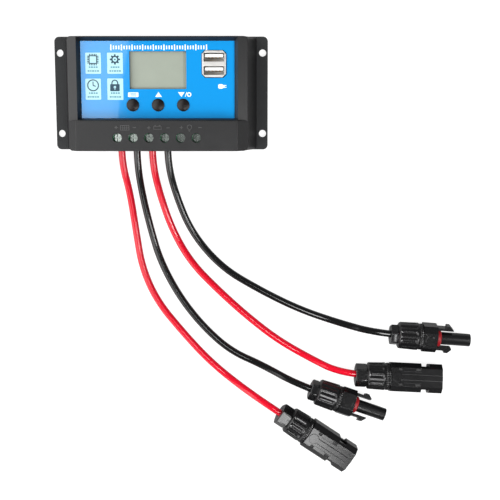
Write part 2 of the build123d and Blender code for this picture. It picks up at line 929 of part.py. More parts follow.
with BuildPart() as control_chip:
    with BuildSketch(Plane.XY.offset(board_top)):
        with Locations((chip_x, chip_y)):
            Rectangle(chip_size, chip_size)
    extrude(amount=chip_height)
    with BuildSketch(Plane.XY.offset(board_top)):
        with Locations((chip_x, chip_y)):
            with GridLocations(chip_leg_pitch, 1, chip_legs_per_side, 1):
                Rectangle(chip_leg_width, chip_size + 2 * chip_leg)
            with GridLocations(1, chip_leg_pitch, 1, chip_legs_per_side):
                Rectangle(chip_size + 2 * chip_leg, chip_leg_width)
    extrude(amount=chip_leg_height)
save(control_chip.part, "control_chip")

# ---------------------------------------------------------------- leads

lead_names = list(lead_routes)
lead_ends = {}
for name, x in zip(lead_names, way_xs):
    straight = [(x, lead_entry_y, entry_height), (x, lead_entry_y - lead_first_run, entry_height)]
    route = straight + lead_routes[name]
    points = [Vector(*point) for point in route]
    radii = []
    for before, here, after in zip(points, points[1:], points[2:]):
        turn = radians((here - before).get_angle(after - here))
        shorter = min((here - before).length, (after - here).length)
        radii.append(bend_share * shorter / tan(turn / 2))
    with BuildPart() as lead:
        with BuildLine():
            FilletPolyline(*points, radius=radii)
        with BuildSketch(Plane(points[0], z_dir=points[1] - points[0])):
            Circle(lead_diameter / 2)
        sweep()
    save(lead.part, name)
    lead_ends[name.removesuffix("_lead")] = (points[-1], (points[-1] - points[-2]).normalized())

with BuildPart() as lead_conductors:
    with BuildSketch(Plane.XZ.offset(-lead_entry_y)):
        with Locations(*[(x, entry_height) for x in way_xs[:wired_ways]]):
            Circle(conductor_diameter / 2)
    extrude(amount=-stripped_length)
save(lead_conductors.part, "lead_conductors")

# ---------------------------------------------------------------- connectors
# Each is made along +X from the middle of its cable entry, then copied to where it lies.

lead_bore = lead_diameter / 2 + gland_bore_clearance
seal_end = seal_start + seal_length
crimp_end = lead_depth + crimp_length
collar_end = crimp_end + contact_collar_length
housing_bore = contact_collar / 2 + contact_clearance


def turned_along(outline, mode=Mode.ADD):
    """Solid turned about the X axis from its (along, radius) outline."""
    with BuildSketch(Plane.XY) as profile:
        with BuildLine():
            Polyline(*outline, close=True)
        make_face()
    revolve(profile.sketch, axis=Axis.X, mode=mode)


def gland_nut(hexagon, hex_length, diameter, end):
    """Fluted cap nut with a hexagon on its tail, bored for the lead and hollow over the spigot."""
    radius = diameter / 2
    with BuildPart() as nut:
        with BuildSketch(Plane.YZ):
            RegularPolygon(hexagon / 2, 6, major_radius=False)
        extrude(amount=hex_length)
        turned_along(
            [
                (hex_length, 0),
                (hex_length, hexagon / 2),
                (hex_length + nut_cone, radius - nut_taper),
                (end, radius),
                (end, 0),
            ]
        )
        turned_along(
            [
                (0, 0),
                (0, lead_bore),
                (clamp_start - spigot_clearance, lead_bore),
                (clamp_start - spigot_clearance, spigot / 2 + spigot_clearance),
                (end, spigot / 2 + spigot_clearance),
                (end, 0),
            ],
            Mode.SUBTRACT,
        )
        with BuildSketch(Plane.YZ.offset(end - nut_cone)):
            with PolarLocations(radius, flutes):
                Rectangle(2 * flute_depth, flute_width)
        extrude(amount=hex_length + 2 * nut_cone - end, mode=Mode.SUBTRACT)
    return nut.part


def octagon_body(start, end, width, thickness, bevel):
    """Straight body between two stations along X, with beveled long edges."""
    with BuildSketch(Plane.YZ.offset(start)) as section:
        cut_cornered(width, thickness, bevel)
    extrude(section.sketch, amount=end - start)


def housing_rear(nut_end, body_start):
    """Spigot inside the nut and the round collar in front of it."""
    turned_along(
        [
            (spigot_start, 0),
            (spigot_start, spigot / 2),
            (nut_end + spigot_clearance, spigot / 2),
            (nut_end + spigot_clearance, collar_diameter / 2),
            (body_start, collar_diameter / 2),
            (body_start, 0),
        ]
    )


def housing_bores():
    """Bores from the rear for the seal and for the contact up to its collar."""
    turned_along(
        [
            (spigot_start, 0),
            (spigot_start, seal_diameter / 2 + spigot_clearance),
            (lead_depth, seal_diameter / 2 + spigot_clearance),
            (lead_depth, housing_bore),
            (collar_end, housing_bore),
            (collar_end, 0),
        ],
        Mode.SUBTRACT,
    )


arm_inner = arm_offset
arm_outer = arm_offset + arm_thickness
with BuildPart() as latch_housing:
    housing_rear(latch_nut_end, latch_body_start)
    octagon_body(
        latch_body_start,
        latch_body_end,
        latch_body_width,
        latch_body_thickness,
        latch_body_chamfer,
    )
    turned_along(
        [
            (latch_body_end, 0),
            (latch_body_end, barrel_diameter / 2),
            (latch_length, barrel_diameter / 2),
            (latch_length, 0),
        ]
    )
    with BuildSketch(Plane.XY.offset(-arm_width / 2)):
        with BuildLine():
            Polyline(
                (latch_body_end, arm_inner),
                (latch_body_end, arm_outer),
                (arm_end - hook_length, arm_outer),
                (arm_end - hook_length, arm_outer + hook_height),
                (arm_end - hook_length / 2, arm_outer + hook_height),
                (arm_end, arm_inner + arm_thickness / 2),
                (arm_end, arm_inner),
                close=True,
            )
        make_face()
        mirror(about=Plane.XZ)
    extrude(amount=arm_width)
    latch_boss = (latch_body_start + latch_body_end) / 2
    with BuildSketch(Plane.XY.offset(-latch_body_thickness / 2 - boss_height)):
        with Locations((latch_boss, 0)):
            Circle(boss_diameter / 2)
        for side in (-1, 1):
            Polygon(
                (latch_body_start, side * brace_spread),
                (latch_body_start + brace_width, side * brace_spread),
                (latch_boss, side * brace_meet),
                (latch_boss - brace_width, side * brace_meet),
                align=None,
            )
    extrude(amount=latch_body_thickness + 2 * boss_height)
    housing_bores()
    turned_along(
        [
            (collar_end, 0),
            (collar_end, socket_outer / 2 + contact_clearance),
            (latch_length, socket_outer / 2 + contact_clearance),
            (latch_length, 0),
        ],
        Mode.SUBTRACT,
    )

bore_floor = window_length - window_bore_depth
notch_end = window_length - notch_from_front
with BuildPart() as window_housing:
    housing_rear(window_nut_end, window_body_start)
    octagon_body(
        window_body_start,
        window_length,
        window_body_width,
        window_body_thickness,
        window_body_chamfer,
    )
    boss_along = window_body_start + boss_inset
    with BuildSketch(Plane.XY.offset(-window_body_thickness / 2 - boss_height)):
        with Locations((boss_along, 0)):
            Circle(boss_diameter / 2)
        with Locations(((boss_along + window_length) / 2, 0)):
            Rectangle(window_length - boss_along, strip_width)
    extrude(amount=window_body_thickness + 2 * boss_height)
    housing_bores()
    turned_along(
        [
            (collar_end, 0),
            (collar_end, pin_diameter / 2 + contact_clearance),
            (bore_floor, pin_diameter / 2 + contact_clearance),
            (bore_floor, barrel_diameter / 2 + window_bore_clearance),
            (window_length, barrel_diameter / 2 + window_bore_clearance),
            (window_length, 0),
        ],
        Mode.SUBTRACT,
    )
    channel_width = arm_thickness + 2 * window_bore_clearance
    with BuildSketch(Plane.YZ.offset(window_length)):
        with Locations(*[(side * (arm_inner + arm_outer) / 2, 0) for side in (-1, 1)]):
            Rectangle(channel_width, arm_width + 2 * window_bore_clearance)
    extrude(amount=-window_channel_depth, mode=Mode.SUBTRACT)
    with BuildSketch(Plane.XY.offset(-window_body_thickness)):
        for side in (-1, 1):
            with Locations((notch_end - notch_length / 2, side * (window_body_width - notch_depth) / 2)):
                Rectangle(notch_length, notch_depth)
    extrude(amount=2 * window_body_thickness, mode=Mode.SUBTRACT)
    for face in (-window_body_thickness / 2, window_body_thickness / 2 - pocket_depth):
        with BuildSketch(Plane.XY.offset(face)):
            for start, length in pocket_places:
                with Locations((start + length / 2, -pocket_offset), (start + length / 2, pocket_offset)):
                    Rectangle(length, pocket_width)
        extrude(amount=pocket_depth, mode=Mode.SUBTRACT)

with BuildPart() as socket_contact:
    turned_along(
        [
            (lead_depth, 0),
            (lead_depth, crimp_diameter / 2),
            (crimp_end, crimp_diameter / 2),
            (crimp_end, contact_collar / 2),
            (collar_end, contact_collar / 2),
            (collar_end, socket_outer / 2),
            (latch_length - socket_inset, socket_outer / 2),
            (latch_length - socket_inset, socket_bore / 2),
            (collar_end, socket_bore / 2),
            (collar_end, 0),
        ]
    )
with BuildPart() as pin_contact:
    turned_along(
        [
            (lead_depth, 0),
            (lead_depth, crimp_diameter / 2),
            (crimp_end, crimp_diameter / 2),
            (crimp_end, contact_collar / 2),
            (collar_end, contact_collar / 2),
            (collar_end, pin_diameter / 2),
            (window_length - pin_inset_front - pin_point, pin_diameter / 2),
            (window_length - pin_inset_front, pin_diameter / 2 - pin_point),
            (window_length - pin_inset_front, 0),
        ]
    )
with BuildPart() as seal_ring:
    turned_along(
        [
            (latch_body_end, barrel_diameter / 2),
            (latch_body_end, ring_diameter / 2 - ring_bevel),
            (latch_body_end + ring_bevel, ring_diameter / 2),
            (latch_body_end + ring_width - ring_bevel, ring_diameter / 2),
            (latch_body_end + ring_width, ring_diameter / 2 - ring_bevel),
            (latch_body_end + ring_width, barrel_diameter / 2),
        ]
    )
with BuildPart() as cable_seal:
    turned_along(
        [
            (seal_start, lead_bore),
            (seal_start, seal_diameter / 2),
            (seal_end, seal_diameter / 2),
            (seal_end, lead_bore),
        ]
    )
with BuildPart() as cable_clamp:
    clamp_end = spigot_start - spigot_clearance
    turned_along(
        [
            (clamp_start, lead_bore),
            (clamp_start, spigot / 2),
            (clamp_end, spigot / 2),
            (clamp_end, lead_bore),
        ]
    )

places = {}
for name, (end, along) in lead_ends.items():
    level = Vector(along.Y, -along.X, 0).normalized()
    place = Plane(end - along * lead_depth, x_dir=along, z_dir=level.cross(along))
    places[name] = place.location * Rotation(connector_roll[name], 0, 0)
kinds = {
    "latch": (
        latch_leads,
        latch_housing.part,
        gland_nut(latch_hex, latch_hex_length, latch_nut, latch_nut_end),
    ),
    "window": (
        window_leads,
        window_housing.part,
        gland_nut(window_hex, window_hex_length, window_nut, window_nut_end),
    ),
}
for leads, housing, nut in kinds.values():
    for name in leads:
        save(housing.moved(places[name]), f"{name}_connector")
        save(nut.moved(places[name]), f"{name}_nut")

repeated = {
    "socket_contacts": (socket_contact.part, latch_leads),
    "pin_contacts": (pin_contact.part, window_leads),
    "connector_seal_rings": (seal_ring.part, latch_leads),
    "cable_seals": (cable_seal.part, latch_leads + window_leads),
    "cable_clamps": (cable_clamp.part, latch_leads + window_leads),
}
for node, (solid, leads) in repeated.items():
    with BuildPart() as group:
        for name in leads:
            add(solid.moved(places[name]))
    save(group.part, node)
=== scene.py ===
import json
from math import cos, pi, radians, sin

import bpy
import numpy as np
from mathutils import Matrix, Vector


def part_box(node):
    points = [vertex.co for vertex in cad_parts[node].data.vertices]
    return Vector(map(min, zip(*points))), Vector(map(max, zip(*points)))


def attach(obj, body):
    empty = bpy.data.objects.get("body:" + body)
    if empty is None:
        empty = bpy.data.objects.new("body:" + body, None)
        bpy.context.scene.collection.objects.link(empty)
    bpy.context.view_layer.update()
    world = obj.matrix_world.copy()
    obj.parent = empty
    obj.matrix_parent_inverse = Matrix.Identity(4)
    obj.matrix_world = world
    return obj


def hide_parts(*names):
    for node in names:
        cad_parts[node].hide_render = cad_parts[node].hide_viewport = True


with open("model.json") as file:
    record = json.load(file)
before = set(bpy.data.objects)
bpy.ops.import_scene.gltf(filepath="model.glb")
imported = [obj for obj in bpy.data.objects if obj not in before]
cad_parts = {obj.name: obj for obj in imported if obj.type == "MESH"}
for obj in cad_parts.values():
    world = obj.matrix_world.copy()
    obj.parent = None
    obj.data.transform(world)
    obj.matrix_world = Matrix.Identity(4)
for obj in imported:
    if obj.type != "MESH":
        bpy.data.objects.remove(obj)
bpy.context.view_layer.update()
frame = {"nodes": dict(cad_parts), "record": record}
controller = "controller"
mm = 0.001

# ---------------------------------------------------------------- camera


def facing(place, target, up):
    """Matrix of a camera or lamp at place that looks at target, with up towards its top edge."""
    ahead = (Vector(target) - Vector(place)).normalized()
    right = ahead.cross(Vector(up)).normalized()
    turn = Matrix((right, right.cross(ahead), -ahead)).transposed().to_4x4()
    return Matrix.Translation(place) @ turn


camera = bpy.data.objects.new("camera", bpy.data.cameras.new("camera"))
camera.data.sensor_width = 36
camera.data.lens = 67.56
camera.data.clip_start = 0.01
camera.matrix_world = facing((0.0603, -0.0151, 0.6), (0.0556, -0.0997, 0), (0, 1, 0))
bpy.context.scene.collection.objects.link(camera)
bpy.context.scene.camera = camera

# ---------------------------------------------------------------- leads

lead_radius = 0.0022
thin = 0.001  # share of the bevel at every point, which keeps the curve's box at its own size
on_table = 0.00225
lead_routes = {
    "panel_positive": [
        (-0.02375, -0.0314, 0.016),
        (-0.02375, -0.043, 0.016),
        (-0.02, -0.062, 0.009),
        (-0.0175, -0.087, on_table),
        (-0.014, -0.111, on_table),
        (-0.0045, -0.133, on_table),
        (0.0115, -0.153, on_table),
        (0.028, -0.1715, on_table),
        (0.046, -0.187, on_table),
        (0.0684, -0.201, 0.0098),
        (0.0882, -0.2145, 0.0092),
    ],
    "panel_negative": [
        (-0.01425, -0.0314, 0.016),
        (-0.01425, -0.043, 0.016),
        (-0.0125, -0.062, 0.009),
        (-0.008, -0.086, on_table),
        (-0.002, -0.107, on_table),
        (0.01, -0.13, on_table),
        (0.025, -0.1495, on_table),
        (0.043, -0.166, on_table),
        (0.064, -0.1755, on_table),
        (0.0872, -0.1869, 0.0091),
        (0.1098, -0.1949, 0.0089),
    ],
    "battery_positive": [
        (-0.00475, -0.0314, 0.016),
        (-0.00475, -0.043, 0.016),
        (-0.0015, -0.062, 0.009),
        (0.006, -0.087, on_table),
        (0.018, -0.108, on_table),
        (0.0355, -0.126, on_table),
        (0.0535, -0.1425, on_table),
        (0.073, -0.158, on_table),
        (0.0935, -0.17, on_table),
        (0.1157, -0.1795, 0.0094),
        (0.1397, -0.1807, 0.0091),
    ],
    "battery_negative": [
        (0.00475, -0.0314, 0.016),
        (0.00475, -0.043, 0.016),
        (0.0085, -0.062, 0.009),
        (0.018, -0.088, on_table),
        (0.037, -0.1105, on_table),
        (0.061, -0.125, on_table),
        (0.087, -0.138, on_table),
        (0.113, -0.147, on_table),
        (0.1378, -0.1524, 0.0096),
        (0.1617, -0.1543, 0.009),
    ],
}


def sheath(name, route):
    """Round lead along the smooth open spline that has the route's points as control points."""
    line = bpy.data.curves.new(name, "CURVE")
    line.dimensions = "3D"
    line.bevel_depth = lead_radius / thin
    line.bevel_resolution = 8
    line.resolution_u = 16
    line.use_fill_caps = True
    spline = line.splines.new("NURBS")
    spline.points.add(len(route) - 1)
    for point, place in zip(spline.points, route):
        point.co = (*place, 1)
        point.radius = thin
    spline.order_u = 3
    spline.use_endpoint_u = True
    made = bpy.data.objects.new(name, line)
    bpy.context.scene.collection.objects.link(made)
    return made


sheaths = {lead: sheath(f"{lead}_sheath", route) for lead, route in lead_routes.items()}

# ---------------------------------------------------------------- finishes


def paint(red, green, blue):
    """Linear colour of a display colour given as 0 to 255."""
    shares = [value / 255 for value in (red, green, blue)]
    linear = [s / 12.92 if s <= 0.04045 else ((s + 0.055) / 1.055) ** 2.4 for s in shares]
    return (*linear, 1)


def add_node(tree, kind, inputs=None, **settings):
    """One node with its settings made, and its inputs filled with values or joined to sockets."""
    node = tree.nodes.new(kind)
    for name, value in settings.items():
        setattr(node, name, value)
    for name, value in (inputs or {}).items():
        if isinstance(value, bpy.types.NodeSocket):
            tree.links.new(value, node.inputs[name])
        else:
            node.inputs[name].default_value = value
    return node


def new_group(name, inputs, outputs):
    """Empty shader group with these (name, kind, value) inputs and (name, kind) outputs."""
    group = bpy.data.node_groups.new(name, "ShaderNodeTree")
    for label, kind, value in inputs:
        socket = group.interface.new_socket(label, in_out="INPUT", socket_type=kind)
        if value is not None:
            socket.default_value = value
    for label, kind in outputs:
        group.interface.new_socket(label, in_out="OUTPUT", socket_type=kind)
    return group, group.nodes.new("NodeGroupInput").outputs, group.nodes.new("NodeGroupOutput").inputs


def make_grain():
    """Moulded or coated surface: fine rounded pits, with a slow change of tone."""
    group, given, out = new_group(
        "moulded_grain",
        [
            ("Place", "NodeSocketVector", None),
            ("Size", "NodeSocketFloat", 0.0005),
            ("Tone Size", "NodeSocketFloat", 0.02),
        ],
        [("Height", "NodeSocketFloat"), ("Tone", "NodeSocketFloat")],
    )
    scale = add_node(group, "ShaderNodeMath", {0: 1.0, 1: given["Size"]}, operation="DIVIDE")
    pits = add_node(
        group,
        "ShaderNodeTexVoronoi",
        {"Vector": given["Place"], "Scale": scale.outputs[0], "Smoothness": 0.6},
        feature="SMOOTH_F1",
    )
    flecks = add_node(
        group,
        "ShaderNodeTexNoise",
        {"Vector": given["Place"], "Scale": scale.outputs[0], "Detail": 3.0, "Roughness": 0.6},
    )
    height = add_node(
        group,
        "ShaderNodeMix",
        {0: 0.5, 2: pits.outputs["Distance"], 3: flecks.outputs[0]},
        data_type="FLOAT",
    )
    slow = add_node(group, "ShaderNodeMath", {0: 1.0, 1: given["Tone Size"]}, operation="DIVIDE")
    tone = add_node(
        group,
        "ShaderNodeTexNoise",
        {"Vector": given["Place"], "Scale": slow.outputs[0], "Detail": 4.0, "Roughness": 0.55},
    )
    group.links.new(height.outputs[0], out["Height"])
    group.links.new(tone.outputs[0], out["Tone"])
    return group


grain = make_grain()


def finish(
    name, light, dark, rough, size=0.0005, tone_size=0.02, bump=0.3, depth=0.00005, edge=0.0002, **sockets
):
    """Grained finish between two colours, with uneven roughness and softened edges."""
    material = bpy.data.materials.new(name)
    material.use_nodes = True
    tree = material.node_tree
    shader = tree.nodes["Principled BSDF"]
    place = add_node(tree, "ShaderNodeTexCoord").outputs["Object"]
    grained = add_node(tree, "ShaderNodeGroup", node_tree=grain)
    tree.links.new(place, grained.inputs["Place"])
    grained.inputs["Size"].default_value = size
    grained.inputs["Tone Size"].default_value = tone_size
    colour = add_node(
        tree, "ShaderNodeMix", {0: grained.outputs["Tone"], 6: dark, 7: light}, data_type="RGBA"
    )
    tree.links.new(colour.outputs[2], shader.inputs["Base Color"])
    roughness = add_node(
        tree,
        "ShaderNodeMapRange",
        {"Value": grained.outputs["Tone"], "To Min": rough * 0.85, "To Max": rough * 1.15},
    )
    tree.links.new(roughness.outputs[0], shader.inputs["Roughness"])
    rounding = add_node(tree, "ShaderNodeBevel", {"Radius": edge}, samples=4)
    bumps = add_node(
        tree,
        "ShaderNodeBump",
        {
            "Strength": bump,
            "Distance": depth,
            "Height": grained.outputs["Height"],
            "Normal": rounding.outputs[0],
        },
    )
    tree.links.new(bumps.outputs[0], shader.inputs["Normal"])
    for socket, value in sockets.items():
        shader.inputs[socket.replace("_", " ").title().replace("Ior", "IOR")].default_value = value
    return material


finishes = {
    "cover_plastic": finish(
        "cover_abs",
        paint(30, 30, 31),
        paint(20, 20, 21),
        0.42,
        0.0005,
        0.012,
        0.7,
        0.00009,
        specular_ior_level=0.4,
    ),
    "plate_coating": finish(
        "plate_powder_coat",
        paint(52, 53, 54),
        paint(39, 40, 41),
        0.6,
        0.0006,
        0.01,
        0.5,
        0.00008,
        specular_ior_level=0.2,
    ),
    "screw_steel": finish(
        "zinc_screw_steel", paint(196, 206, 200), paint(150, 160, 154), 0.2, 0.0002, 0.003, 0.15, metallic=1
    ),
    "board_laminate": finish("board_laminate", paint(20, 92, 58), paint(12, 66, 42), 0.35, 0.0004, 0.02, 0.2),
    "label_film": finish(
        "azure_label_film",
        paint(7, 144, 216),
        paint(4, 137, 210),
        0.1,
        0.0004,
        0.05,
        0.02,
        edge=0.00005,
        coat_weight=0.6,
        coat_roughness=0.02,
    ),
    "display_glass": finish(
        "display_glass", paint(154, 161, 149), paint(145, 152, 140), 0.2, 0.0003, 0.01, 0.03
    ),
    "display_diffuser": finish("display_diffuser", paint(222, 226, 220), paint(205, 210, 202), 0.5),
    "tin_plate": finish(
        "tin_plate", paint(200, 200, 196), paint(168, 168, 166), 0.32, 0.0003, 0.004, 0.1, metallic=1
    ),
    "inner_plastic": finish("inner_plastic", paint(30, 30, 31), paint(22, 22, 23), 0.5),
    "usb_metal": finish(
        "nickel_socket_shell", paint(240, 238, 235), paint(216, 214, 211), 0.4, 0.0003, 0.004, 0.2, metallic=1
    ),
    "white_plastic": finish("white_tongue_plastic", paint(236, 236, 234), paint(222, 222, 220), 0.35, 0.0003),
    "gold_contact": finish("gold_contact", paint(214, 170, 92), paint(180, 136, 66), 0.3, metallic=1),
    "terminal_plastic": finish(
        "green_terminal_plastic", paint(44, 128, 84), paint(28, 102, 64), 0.42, 0.0004
    ),
    "pad_silicone": finish("pad_silicone", paint(150, 152, 156), paint(132, 134, 138), 0.6),
    "capacitor_can": finish("capacitor_sleeve", paint(38, 40, 62), paint(28, 30, 48), 0.3),
    "ferrite": finish("ferrite", paint(52, 50, 50), paint(38, 36, 36), 0.55),
    "bare_copper": finish("bare_copper", paint(206, 124, 82), paint(170, 92, 58), 0.35, metallic=1),
    "seal_rubber": finish(
        "red_seal_rubber", paint(168, 20, 32), paint(132, 12, 20), 0.3, 0.0004, 0.003, 0.15
    ),
    "key_rubber": finish(
        "key_rubber", paint(19, 12, 13), paint(11, 7, 8), 0.34, 0.0003, 0.003, 0.12, specular_ior_level=0.3
    ),
    "red_sheath": finish("red_sheath_pvc", paint(206, 8, 38), paint(194, 5, 32), 0.12, 0.004, 0.02, 0.0),
    "black_sheath": finish("black_sheath_pvc", paint(13, 13, 14), paint(7, 7, 8), 0.12, 0.004, 0.02, 0.0),
    "connector_plastic": finish(
        "connector_plastic", paint(19, 19, 20), paint(12, 12, 13), 0.2, 0.0008, 0.005, 0.1, edge=0.00035
    ),
}
print_edge = 0.00002
prints = {
    # painted highlight: the raised hood signs are coloured light grey, though moulded in the hood's dark
    # plastic, standing in for the light on their edges
    "sign_highlight_paint": finish(
        "raised_sign_painted_highlight", paint(78, 78, 78), paint(62, 62, 62), 0.35, 0.0004, 0.01, 0.2
    ),
}
for slot, name, light, dark, rough in (
    ("tile_print", "pale_tile_print", (178, 222, 232), (168, 215, 226), 0.22),
    ("sign_print", "dark_sign_print", (18, 62, 82), (12, 52, 70), 0.25),
    ("row_print", "faded_row_print", (96, 150, 166), (84, 138, 154), 0.25),
    ("white_print", "white_print", (240, 250, 252), (228, 242, 248), 0.22),
):
    prints[slot] = finish(name, paint(*light), paint(*dark), rough, 0.0004, 0.01, 0.03, edge=print_edge)

for row in frame["record"]["subparts"]:
    mesh = frame["nodes"][row["node"]].data
    mesh.materials.clear()
    mesh.materials.append(finishes[row["material_slot"]])

# ---------------------------------------------------------------- printed and raised signs


def disc(x, y, radius, count=32):
    """Circle: points at equal angles, radius from the middle (x, y)."""
    turn = np.arange(count) * 2 * pi / count
    return np.stack([x + radius * np.cos(turn), y + radius * np.sin(turn)], axis=1)


def rounded(x, y, width, depth, corner, per_corner=8):
    """Rectangle about (x, y): four quarter circles of the corner radius, joined by straight sides."""
    turn = np.linspace(0, pi / 2, per_corner)
    quarter = np.arange(4)[:, None]
    side_x = np.array([1, -1, -1, 1])[:, None] * (width / 2 - corner)
    side_y = np.array([1, 1, -1, -1])[:, None] * (depth / 2 - corner)
    angle = turn[None, :] + quarter * pi / 2
    xs = x + side_x + corner * np.cos(angle)
    ys = y + side_y + corner * np.sin(angle)
    return np.stack([xs.ravel(), ys.ravel()], axis=1)


def box(x, y, width, depth):
    """Plain rectangle about (x, y)."""
    return np.array([x, y]) + np.array([[1, 1], [-1, 1], [-1, -1], [1, -1]]) * np.array([width, depth]) / 2


def toothed(x, y, tip, root, teeth=8):
    """Wheel outline: four points a tooth, two at the root radius and two at the tip radius."""
    share = np.array([-0.32, -0.2, 0.2, 0.32])
    turn = (np.arange(teeth)[:, None] + share[None, :]) * 2 * pi / teeth
    radius = np.array([root, tip, tip, root])[None, :]
    return np.stack([(x + radius * np.cos(turn)).ravel(), (y + radius * np.sin(turn)).ravel()], axis=1)


def arch(x, y, outer, inner, leg, count=16):
    """Shackle: half a ring above (x, y) with straight legs down, as one closed outline."""
    turn = np.linspace(0, pi, count)
    out = np.stack([x + outer * np.cos(turn), y + outer * np.sin(turn)], axis=1)
    back = np.stack([x + inner * np.cos(turn[::-1]), y + inner * np.sin(turn[::-1])], axis=1)
    feet = [[x - outer, y - leg], [x - inner, y - leg]], [[x + inner, y - leg], [x + outer, y - leg]]
    return np.concatenate([out, feet[0], back, feet[1]])


def bar(start, end, width):
    """Straight stroke: a rectangle of the width along the line from start to end."""
    start, end = np.array(start, float), np.array(end, float)
    along = (end - start) / np.linalg.norm(end - start)
    side = np.array([-along[1], along[0]]) * width / 2
    return np.array([start - side, end - side, end + side, start + side])


def add_piece(name, mesh, material):
    """Object of a finished mesh, with its material, that rides on the controller."""
    mesh.materials.append(material)
    made = bpy.data.objects.new(name, mesh)
    bpy.context.scene.collection.objects.link(made)
    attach(made, controller)
    return made


def relief(name, shapes, low, high, material):
    """Thin plates from low to high: each outline in millimetres at both heights, walled between.

    A shape is an outline, or an outline and a hole with as many points, whose rims are bridged by quads.
    """
    points, faces = [], []
    for shape in shapes:
        outline, hole = shape if isinstance(shape, tuple) else (shape, None)
        first = sum(len(block) for block in points)
        count = len(outline)
        here = np.arange(count)
        after = np.roll(here, -1)
        loops = [outline] if hole is None else [outline, hole]
        for flat in loops:
            for height in (low, high):
                points.append(np.column_stack([flat * mm, np.full(count, height)]))
        walls = np.stack([here, after, after + count, here + count], axis=1) + first
        faces += walls.tolist()
        if hole is None:
            faces.append((first + here[::-1]).tolist())
            faces.append((first + count + here).tolist())
        else:
            inner = first + 2 * count
            faces += (np.stack([after, here, here + count, after + count], axis=1) + inner).tolist()
            top = [first + count + here, first + count + after, inner + count + after, inner + count + here]
            faces += np.stack(top, axis=1).tolist()
            bottom = [first + after, first + here, inner + here, inner + after]
            faces += np.stack(bottom, axis=1).tolist()
    mesh = bpy.data.meshes.new(name)
    mesh.from_pydata(np.concatenate(points).tolist(), [], faces)
    return add_piece(name, mesh, material)


label_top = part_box("face_label")[1][2]
film = 0.00002
tiles = {
    "chip": (-38.9, 17.45, 9.4, 12.5),
    "wheel": (-25.7, 17.45, 9.4, 12.5),
    "clock": (-39.2, 2.0, 9.4, 12.6),
    "lock": (-25.8, 2.0, 9.6, 12.8),
}
relief(
    "label_tiles",
    [rounded(x, y, width, depth, 0.5) for x, y, width, depth in tiles.values()],
    label_top - film,
    label_top + film,
    prints["tile_print"],
)

chip_x, chip_y = -39.0, 19.6
wheel_x, wheel_y = -25.7, 19.7
clock_x, clock_y = -39.2, 4.3
lock_x, lock_y = -26.0, 3.0
signs = [(rounded(chip_x, chip_y, 5.0, 5.0, 0.4), rounded(chip_x, chip_y, 3.9, 3.9, 0.2))]
for step in (-2.0, -1.0, 0.0, 1.0, 2.0):
    signs += [box(chip_x + step, chip_y + side * 2.9, 0.55, 1.1) for side in (-1, 1)]
    signs += [box(chip_x + side * 2.9, chip_y + step, 1.1, 0.55) for side in (-1, 1)]
signs.append((toothed(wheel_x, wheel_y, 3.1, 2.25), disc(wheel_x, wheel_y, 1.35)))
signs.append(disc(wheel_x, wheel_y, 0.5))
signs.append((disc(clock_x, clock_y, 3.6), disc(clock_x, clock_y, 2.9)))
signs.append(bar((clock_x, clock_y), (clock_x, clock_y + 2.3), 0.6))
signs.append(bar((clock_x - 0.2, clock_y), (clock_x + 1.6, clock_y - 0.6), 0.6))
signs.append(rounded(lock_x, lock_y - 0.1, 5.8, 4.2, 0.4))
signs.append(arch(lock_x, lock_y + 2.6, 2.1, 1.4, 0.7))
relief("label_signs", signs, label_top, label_top + 2 * film, prints["sign_print"])
relief(
    "lock_keyhole",
    [disc(lock_x, lock_y + 0.2, 0.75), bar((lock_x, lock_y), (lock_x, lock_y - 1.2), 0.6)],
    label_top + film,
    label_top + 3 * film,
    prints["tile_print"],
)

dash_gap = 0.35
rows = []
for x, y, width, depth in tiles.values():
    for row, dashes in ((2.35, (0.9, 1.3, 1.0, 1.1)), (4.6, (1.2, 0.8, 1.4, 0.9, 1.2))):
        length = sum(dashes) + dash_gap * (len(dashes) - 1)
        start = x - length / 2
        for dash in dashes:
            rows.append(box(start + dash / 2, y - row, dash, 0.95))
            start += dash + dash_gap
relief("label_rows", rows, label_top, label_top + 2 * film, prints["row_print"])

tick_count, tick_pitch, tick_width = 37, 1.6, 0.75
long_tick, short_tick = 3.4, 2.2
whites = [
    box(-28.0 + step * tick_pitch, 26.8, tick_width, long_tick if step % 4 == 0 else short_tick)
    for step in range(tick_count)
]
whites.append(rounded(-14.95, -1.3, 6.3, 2.8, 0.5))
whites.append(np.array([[-1.7, -2.6], [2.4, -2.6], [0.35, 0.3]]))
whites.append(np.array([[12.2, 0.2], [14.2, -2.6], [16.2, 0.2]]))
whites.append(bar((16.5, -2.6), (17.5, 0.2), 0.4))
whites.append((disc(18.9, -1.2, 1.4), disc(18.9, -1.2, 0.7)))
whites.append(rounded(38.1, 3.65, 3.0, 2.7, 0.9))
whites.append(box(40.0, 3.65, 1.0, 1.7))
whites += [box(41.1, 3.65 + side * 0.55, 0.9, 0.45) for side in (-1, 1)]
relief("label_white_signs", whites, label_top - film, label_top + film, prints["white_print"])
relief(
    "menu_sign_rows",
    [box(-14.95, -1.3 + step, 3.6, 0.32) for step in (-0.75, 0, 0.75)],
    label_top,
    label_top + 2 * film,
    finishes["label_film"],
)

